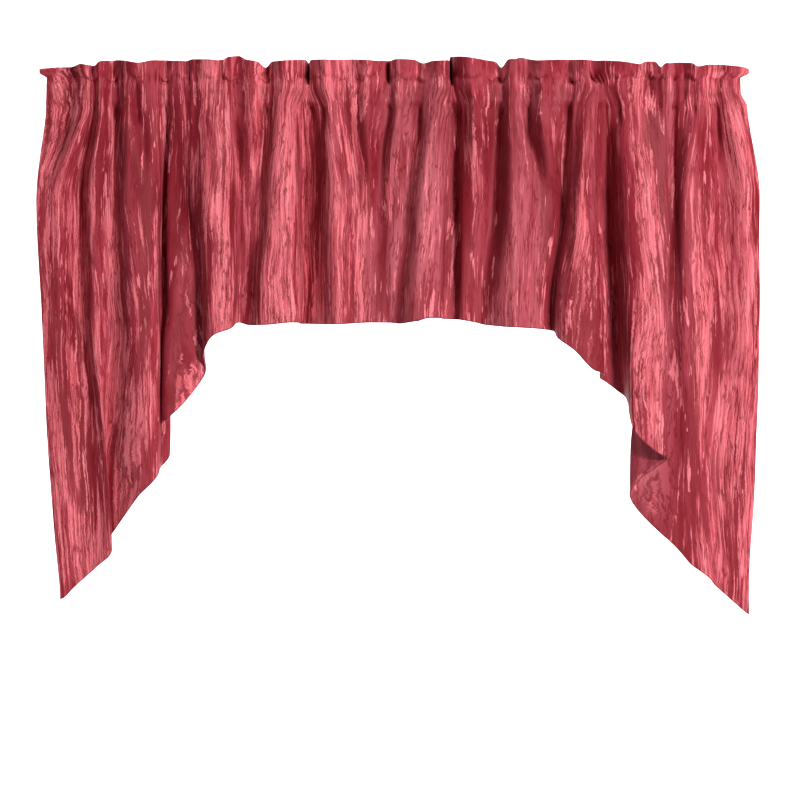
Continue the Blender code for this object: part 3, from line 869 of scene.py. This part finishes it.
def stitch_rows(name, rows):
    """Join the stitches of several rows of points and normals into one mesh."""
    points, faces = [], []
    for line, normals in rows:
        steps_along = np.linalg.norm(np.diff(line, axis=0), axis=1)
        run = np.concatenate([[0], np.cumsum(steps_along)])
        for begin in np.arange(ROW_MARGIN, run[-1] - 2 * STITCH_PITCH, STITCH_PITCH):
            base = len(points)
            for share, thin, lift in THREAD_RINGS:
                at = begin + share * STITCH_LENGTH
                centre = read_along(run, line, at)
                out = read_along(run, normals, at).normalized()
                ahead = (read_along(run, line, at + LOOK_AHEAD) - centre).normalized()
                side = ahead.cross(out).normalized()
                for corner in range(THREAD_SIDES):
                    angle = math.tau * corner / THREAD_SIDES
                    ring = side * math.cos(angle) + out * math.sin(angle)
                    points.append(centre + out * lift * MM + ring * THREAD_RADIUS * thin)
            for ring in range(len(THREAD_RINGS) - 1):
                for corner in range(THREAD_SIDES):
                    after = (corner + 1) % THREAD_SIDES
                    near_ring = base + ring * THREAD_SIDES
                    far_ring = near_ring + THREAD_SIDES
                    faces.append((near_ring + corner, far_ring + corner, far_ring + after, near_ring + after))
            faces.append(tuple(base + corner for corner in range(THREAD_SIDES)))
            end = base + (len(THREAD_RINGS) - 1) * THREAD_SIDES
            faces.append(tuple(end + corner for corner in reversed(range(THREAD_SIDES))))
    print(name, "triangles", sum(len(corners) - 2 for corners in faces))
    return add_mesh(name, points, faces)


# %% Sew the pocket and the hem
heading_normals = np.cross(np.gradient(heading_grid, axis=0), np.gradient(heading_grid, axis=1))
heading_normals /= np.linalg.norm(heading_normals, axis=2, keepdims=True)
upper_front = POCKET_STEPS - 1
back_start = len(front_wall) + len(front_frill) + len(top_rows) + len(back_frill)
lower_back = back_start + POCKET_STEPS - 1
pocket_rows = []
for row in (upper_front, back_start, lower_back):
    surface = heading_grid[:, row] + heading_normals[:, row] * CLOTH_THICKNESS / 2
    pocket_rows.append((surface, heading_normals[:, row]))
pocket_stitches = stitch_rows("pocket_stitches", pocket_rows)
hem_line = drop_grid[:, -2]
hem_back = inward[:, -1]
hem_stitches = stitch_rows("hem_stitches", [(hem_line + hem_back * CLOTH_THICKNESS / 2, hem_back)])

# %% [markdown]
# ## The woven figure
# Jacquard is woven from threads of two colours that trade places: where the satin threads lie on
# top there is a smooth coral figure, and elsewhere a matte crimson ground. The figure here is
# like the grain of bark: tall ragged strokes with thin dark cracks. Stretched noise gives such
# strokes, because its cells can be far taller than wide. Slower noise sways them, and the cracks
# follow the places where other noise crosses its middle value. The figure is worked out once, in
# a group, and both sides of the cloth use it.

# %% Helpers for shader nodes
def add(tree, kind, **settings):
    """Add one node and set its properties."""
    made = tree.nodes.new(kind)
    for name, value in settings.items():
        setattr(made, name, value)
    return made


def feed(tree, socket, value):
    """Set a socket to a number or a colour, or link another node's output to it."""
    if isinstance(value, bpy.types.NodeSocket):
        tree.links.new(value, socket)
    else:
        socket.default_value = value


def sum_of(tree, operation, *values):
    """Add a Math node; a value may be a number or another node's output."""
    made = add(tree, "ShaderNodeMath", operation=operation)
    for slot, value in enumerate(values):
        feed(tree, made.inputs[slot], value)
    return made.outputs[0]


def ramp(tree, value, low, high, to_low=0.0, to_high=1.0):
    """Map a value smoothly from one range to another."""
    made = add(tree, "ShaderNodeMapRange", interpolation_type="SMOOTHSTEP")
    for slot, given in enumerate((value, low, high, to_low, to_high)):
        feed(tree, made.inputs[slot], given)
    return made.outputs[0]


def noise(tree, place, per_across, per_up, detail, roughness=0.5):
    """Add noise with so many cells to the metre across and up the cloth."""
    scale = add(tree, "ShaderNodeVectorMath", operation="MULTIPLY")
    scale.inputs[1].default_value = (per_across, per_up, 1.0)
    tree.links.new(place, scale.inputs[0])
    made = add(tree, "ShaderNodeTexNoise", noise_dimensions="2D")
    made.inputs["Scale"].default_value = 1.0
    made.inputs["Detail"].default_value = detail
    made.inputs["Roughness"].default_value = roughness
    tree.links.new(scale.outputs[0], made.inputs["Vector"])
    return made.outputs[0]


def blend_colour(tree, share, under, over):
    """Mix two colours; each is a colour or another node's output."""
    made = add(tree, "ShaderNodeMix", data_type="RGBA")
    for slot, value in ((0, share), (6, under), (7, over)):
        feed(tree, made.inputs[slot], value)
    return made.outputs[2]


# %% Noises of the woven figure
FIGURE_NOISE = {
    # name: cells to the metre across and up the cloth, detail, roughness
    "sway": (7, 3.6, 2, 0.5),
    "ragged": (70, 60, 3, 0.6),
    "serrated": (160, 300, 2, 0.6),
    "broad": (36, 4.2, 2, 0.5),
    "strokes": (150, 6.5, 4, 0.66),
    "cracks": (140, 12, 2, 0.6),
    "crack_places": (50, 14, 2, 0.5),
    "hairs": (300, 16, 1, 0.5),
    "lines": (64, 2.6, 2, 0.5),
    "line_width": (48, 15, 3, 0.6),
    "grain": (230, 5, 3, 0.7),
    "fine_grain": (600, 14, 2, 0.6),
    "cloud": (22, 3.2, 2, 0.5),
    "weave": (1500, 1500, 0, 0.5),
}
FIGURE_RAMP = {
    # name: the two levels between which it changes, its value at each
    "figure": (-0.030, 0.045, 0.0, 1.0),
    "crack": (0.010, 0.050, 1.0, 0.0),
    "crack_places": (0.36, 0.52, 0.0, 1.0),
    "hair": (0.018, 0.070, 0.85, 0.0),
    "hair_places": (0.42, 0.56, 0.0, 1.0),
    "line_width": (0.42, 0.75, 0.0, 0.050),
    "line": (0.0, 0.010, 0.0, 1.0),
}
STROKES_IN_FIGURE = 0.5
FINE_IN_GRAIN = 0.4
WEAVE_IN_GRAIN = 0.35
GRAIN_IN_HEIGHT = 0.5
WEAVE_IN_HEIGHT = 0.25
SWAY = 30 * MM
RAGGED = 3 * MM
# Noise above a level shows as figure. The level falls from the first value, where the figure's
# share is 0, to the second one, where it is 1.
LEVELS_OF_FIGURE = (0.64, 0.41)
NOISE_MIDDLE = 0.5

figure_group = bpy.data.node_groups.new("woven_figure", "ShaderNodeTree")
tree = figure_group
sockets = tree.interface
sockets.new_socket("Place", in_out="INPUT", socket_type="NodeSocketVector")
sockets.new_socket("Share", in_out="INPUT", socket_type="NodeSocketFloat")
for title in ("Figure", "Outline", "Threads", "Grain", "Cloud", "Height"):
    sockets.new_socket(title, in_out="OUTPUT", socket_type="NodeSocketFloat")
entry = add(tree, "NodeGroupInput")
leave = add(tree, "NodeGroupOutput")
place, share = entry.outputs[0], entry.outputs[1]


def figure_noise(where, name):
    """Add one of the figure's noises."""
    return noise(tree, where, *FIGURE_NOISE[name])


def swing(where, name, reach):
    """Turn a noise into a sideways move that reaches as far to both sides."""
    return sum_of(tree, "MULTIPLY_ADD", figure_noise(where, name), reach, -reach / 2)


def from_middle(value):
    """Give how far a noise is from its middle value, which makes thin lines."""
    return sum_of(tree, "ABSOLUTE", sum_of(tree, "SUBTRACT", value, NOISE_MIDDLE))


print(len(FIGURE_NOISE), "noises")

# %% Sway the cloth's threads
sway = swing(place, "sway", SWAY)
ragged = swing(place, "ragged", RAGGED)
serrated = swing(place, "serrated", RAGGED)
shift = add(tree, "ShaderNodeCombineXYZ")
tree.links.new(sum_of(tree, "ADD", sum_of(tree, "ADD", sway, ragged), serrated), shift.inputs[0])
moved = add(tree, "ShaderNodeVectorMath", operation="ADD")
tree.links.new(place, moved.inputs[0])
tree.links.new(shift.outputs[0], moved.inputs[1])
swayed = moved.outputs[0]
print("sway", round(SWAY / MM / 2), "mm to both sides")

# %% Strokes, cracks, thin lines and grain
def part_of(value, share, rest):
    """Add a share of one value to another value."""
    return sum_of(tree, "MULTIPLY_ADD", value, share, rest)


def figure_ramp(value, name):
    """Add one of the figure's ramps."""
    return ramp(tree, value, *FIGURE_RAMP[name])


strokes = sum_of(tree, "MULTIPLY", figure_noise(swayed, "strokes"), STROKES_IN_FIGURE)
both = part_of(figure_noise(swayed, "broad"), 1 - STROKES_IN_FIGURE, strokes)
level = ramp(tree, share, 0.0, 1.0, *LEVELS_OF_FIGURE)
figure = figure_ramp(sum_of(tree, "SUBTRACT", both, level), "figure")

cracks = figure_noise(swayed, "cracks")
crack = figure_ramp(from_middle(cracks), "crack")
crack_places = figure_ramp(figure_noise(place, "crack_places"), "crack_places")
hair = figure_ramp(from_middle(figure_noise(swayed, "hairs")), "hair")
hair = sum_of(tree, "MULTIPLY", hair, figure_ramp(cracks, "hair_places"))
outline = sum_of(tree, "MAXIMUM", sum_of(tree, "MULTIPLY", crack, crack_places), hair)

lines = figure_noise(swayed, "lines")
width = figure_ramp(figure_noise(place, "line_width"), "line_width")
threads = figure_ramp(sum_of(tree, "SUBTRACT", width, from_middle(lines)), "line")

fine_grain = sum_of(tree, "MULTIPLY", figure_noise(swayed, "fine_grain"), FINE_IN_GRAIN)
grain = part_of(figure_noise(swayed, "grain"), 1 - FINE_IN_GRAIN, fine_grain)
cloud = figure_noise(place, "cloud")
weave = figure_noise(place, "weave")
height = part_of(figure, 1 - GRAIN_IN_HEIGHT, sum_of(tree, "MULTIPLY", grain, GRAIN_IN_HEIGHT))
height = part_of(weave, WEAVE_IN_HEIGHT, height)
grain = part_of(weave, WEAVE_IN_GRAIN, sum_of(tree, "MULTIPLY", grain, 1 - WEAVE_IN_GRAIN))
for slot, value in enumerate((figure, outline, threads, grain, cloud, height)):
    tree.links.new(value, leave.inputs[slot])
print("woven figure uses", len(tree.nodes), "nodes")


# %% [markdown]
# ## Right side and wrong side
# On the right side the figure is bright satin on a deep ground. On the wrong side the same
# threads run underneath, so it is duller and darker. A little sheen, the soft light that short
# fibres catch at a shallow angle, softens the sides of the folds. A painted highlight turns the
# bare ground a greyish rose in some of the lit folds. Shade is painted along the hem's edge,
# where the folded cloth turns at its crease.

# %% Finish of each side of the cloth
STREAK_LEVELS = (0.44, 0.57)
CLOUD_LEVELS = (0.35, 0.65)
STREAK_IN_GROUND = 0.4
LINES_SHOW = 0.8
CRACKS_SHOW = 0.8
GROUND_ROUGHNESS = 0.62
FIGURE_SMOOTHER = 0.04
# Painted shade along the hem's edge: how dark, how strong, and over what distance from the edge.
DARKER_EDGE = 0.35
EDGE_SHADE = 0.55
EDGE_SHADE_BETWEEN = (0.4 * MM, 2.2 * MM)
BUMP_STRENGTH = 0.45
BUMP_HEIGHT = 0.6 * MM


def new_finish(name):
    """Make a finish and give it with its node tree and its shader."""
    material = bpy.data.materials.new(name)
    material.use_nodes = True
    return material, material.node_tree, material.node_tree.nodes["Principled BSDF"]


def cloth_finish(name, ground, ground_light, highlight_colour, figure_deep, figure_light, dull):
    """Make the finish of one side of the jacquard."""
    material, tree, shader = new_finish(name)
    cut = add(tree, "ShaderNodeUVMap", uv_map="cut")
    share, hem_at, painted_highlight = (
        add(tree, "ShaderNodeAttribute", attribute_name=title).outputs["Fac"]
        for title in ("figure_and_painted_light", "hem_distance", "painted_highlight")
    )
    group = add(tree, "ShaderNodeGroup", node_tree=figure_group)
    tree.links.new(cut.outputs[0], group.inputs[0])
    tree.links.new(share, group.inputs[1])
    figure, outline, threads, grain, cloud, height = group.outputs
    streak = ramp(tree, grain, *STREAK_LEVELS)
    streak_part = sum_of(tree, "MULTIPLY", streak, STREAK_IN_GROUND)
    clouded = ramp(tree, cloud, *CLOUD_LEVELS)
    lit_share = sum_of(tree, "MULTIPLY_ADD", clouded, 1 - STREAK_IN_GROUND, streak_part)
    ground_colour = blend_colour(tree, lit_share, ground, ground_light)
    # Painted highlight: the bare ground is mixed towards a greyish rose where the point attribute asks for
    # it, in place of the broad sheen of lit folds.
    highlight_mix = sum_of(tree, "MULTIPLY", painted_highlight, ramp(tree, cloud, *CLOUD_LEVELS, 0.15, 0.85))
    ground_colour = blend_colour(tree, sum_of(tree, "MULTIPLY", highlight_mix, dull), ground_colour, highlight_colour)
    figure_colour = blend_colour(tree, streak, figure_deep, figure_light)
    lined = sum_of(tree, "MULTIPLY", threads, LINES_SHOW * dull)
    colour = blend_colour(tree, lined, ground_colour, figure_light)
    colour = blend_colour(tree, sum_of(tree, "MULTIPLY", figure, dull), colour, figure_colour)
    # Painted shade along the hem's edge, darkest at the crease.
    dark = tuple(value * DARKER_EDGE for value in ground[:3]) + (1.0,)
    colour = blend_colour(tree, sum_of(tree, "MULTIPLY", outline, CRACKS_SHOW * dull), colour, ground)
    edge_shade = ramp(tree, hem_at, *EDGE_SHADE_BETWEEN, EDGE_SHADE, 0.0)
    colour = blend_colour(tree, edge_shade, colour, dark)
    tree.links.new(colour, shader.inputs["Base Color"])
    rough = sum_of(tree, "MULTIPLY_ADD", figure, -FIGURE_SMOOTHER * dull, GROUND_ROUGHNESS)
    tree.links.new(rough, shader.inputs["Roughness"])
    shader.inputs["Sheen Weight"].default_value = 0.04
    shader.inputs["Sheen Roughness"].default_value = 0.4
    shader.inputs["Sheen Tint"].default_value = (0.95, 0.62, 0.68, 1.0)
    shader.inputs["Specular IOR Level"].default_value = 0.2
    bump = add(tree, "ShaderNodeBump")
    bump.inputs["Strength"].default_value = BUMP_STRENGTH
    bump.inputs["Distance"].default_value = BUMP_HEIGHT
    tree.links.new(height, bump.inputs["Height"])
    tree.links.new(bump.outputs[0], shader.inputs["Normal"])
    return material


face_finish = cloth_finish(
    "jacquard_face",
    ground=(0.185, 0.005, 0.012, 1.0),
    ground_light=(0.35, 0.021, 0.040, 1.0),
    # The greyish rose of the painted highlight.
    highlight_colour=(0.56, 0.145, 0.178, 1.0),
    figure_deep=(0.44, 0.042, 0.060, 1.0),
    figure_light=(0.85, 0.215, 0.255, 1.0),
    dull=1.0,
)
back_finish = cloth_finish(
    "jacquard_wrong_side",
    ground=(0.20, 0.014, 0.028, 1.0),
    ground_light=(0.27, 0.028, 0.046, 1.0),
    # The greyish rose of the painted highlight, duller on this side.
    highlight_colour=(0.30, 0.050, 0.070, 1.0),
    figure_deep=(0.38, 0.050, 0.068, 1.0),
    figure_light=(0.50, 0.095, 0.120, 1.0),
    dull=0.6,
)
print("finishes", face_finish.name, back_finish.name)

# %% Thread, and the finishes put on
TWISTS_TO_THE_METRE = 1800
THREAD_DARK = (0.42, 0.05, 0.07, 1.0)
THREAD_LIGHT = (0.60, 0.11, 0.14, 1.0)

thread_finish, tree, thread_shader = new_finish("crimson_thread")
thread_place = add(tree, "ShaderNodeTexCoord").outputs["Object"]
twist = noise(tree, thread_place, TWISTS_TO_THE_METRE, TWISTS_TO_THE_METRE, 1)
tree.links.new(blend_colour(tree, twist, THREAD_DARK, THREAD_LIGHT), thread_shader.inputs["Base Color"])
thread_shader.inputs["Roughness"].default_value = 0.6

for piece in (drop_cloth, heading_cloth):
    piece.data.materials.append(face_finish)
    piece.data.materials.append(back_finish)
    thicken(piece, CLOTH_THICKNESS)
for piece in (pocket_stitches, hem_stitches):
    piece.data.materials.append(thread_finish)

# %% Hide the imported nodes and attach the new pieces to the body
for piece, node in ((drop_cloth, "drop"), (heading_cloth, "heading")):
    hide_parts(node)
for piece in (drop_cloth, heading_cloth, pocket_stitches, hem_stitches):
    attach(piece, "root")

# %% [markdown]
# ## Studio
# A pale sweep, floor and wall in one curve, stands so far behind the valance that no shadow
# falls on it and that a camera has room behind the cloth. A soft light hangs in front and to the
# right, and a weak one to the left. Two more light the sweep. The world gives almost no light,
# which keeps the grooves dark, but the camera sees it as white.

# %% Sweep
SWEEP = (
    # towards the back, up
    (-1.2, -1.35), (3.6, -1.35), (4.2, -1.32), (4.7, -1.20), (5.1, -0.95), (5.35, -0.6),
    (5.45, -0.1), (5.48, 0.6), (5.5, 6.0),
)
SWEEP_HALF_WIDTH = 7.0
points = [(side * SWEEP_HALF_WIDTH, back, up) for side in (-1, 1) for back, up in SWEEP]
count = len(SWEEP)
faces = [(i, i + count, i + count + 1, i + 1) for i in range(count - 1)]
sweep = add_mesh("studio_sweep", points, faces)
paper, tree, shader = new_finish("studio_paper")
shader.inputs["Base Color"].default_value = (0.93, 0.93, 0.93, 1.0)
shader.inputs["Roughness"].default_value = 0.9
sweep.data.materials.append(paper)
print("sweep", 2 * SWEEP_HALF_WIDTH, "m wide")

# %% Lights
LIGHTS = (
    # name, place, aim, width, watts
    ("key_light", (1.6, -3.05, 0.55), (0.0, 0.0, -0.35), 0.6, 143),
    ("fill_light", (-1.2, -3.2, 0.2), (0.0, 0.0, -0.35), 1.4, 3),
    ("sweep_light", (0.0, 0.7, 1.9), (0.0, 3.6, -0.9), 2.4, 170),
    ("wall_light", (0.0, 3.0, 3.4), (0.0, 5.4, -0.4), 3.0, 420),
)
WORLD_LIGHT = 0.024
for name, place, aim, width, watts in LIGHTS:
    lamp = bpy.data.lights.new(name, "AREA")
    lamp.size = width
    lamp.energy = watts
    holder = add_object(name, lamp)
    holder.location = place
    holder.rotation_euler = (Vector(aim) - Vector(place)).to_track_quat("-Z", "Y").to_euler()

world = bpy.data.worlds.new("studio")
bpy.context.scene.world = world
world.use_nodes = True
world.node_tree.nodes["Background"].inputs[0].default_value = (1.0, 1.0, 1.0, 1.0)
ray = add(world.node_tree, "ShaderNodeLightPath")
seen = sum_of(world.node_tree, "MULTIPLY_ADD", ray.outputs["Is Camera Ray"], 1.0 - WORLD_LIGHT, WORLD_LIGHT)
world.node_tree.links.new(seen, world.node_tree.nodes["Background"].inputs[1])
print(len(LIGHTS), "lights")

# %% Camera
VIEW_WIDTH = 1.32
EYE_ASIDE = 0.0091
SENSOR = 36.0
lens = bpy.data.cameras.new("camera")
lens.sensor_width = SENSOR
lens.lens = SENSOR * VIEW_DISTANCE / VIEW_WIDTH
camera = add_object("camera", lens)
camera.location = (EYE_ASIDE, -VIEW_DISTANCE, EYE_HEIGHT)
camera.rotation_euler = (math.pi / 2, 0.0, 0.0)
bpy.context.scene.camera = camera
bpy.context.scene.view_settings.view_transform = "Standard"
print("camera", VIEW_DISTANCE, "m away")
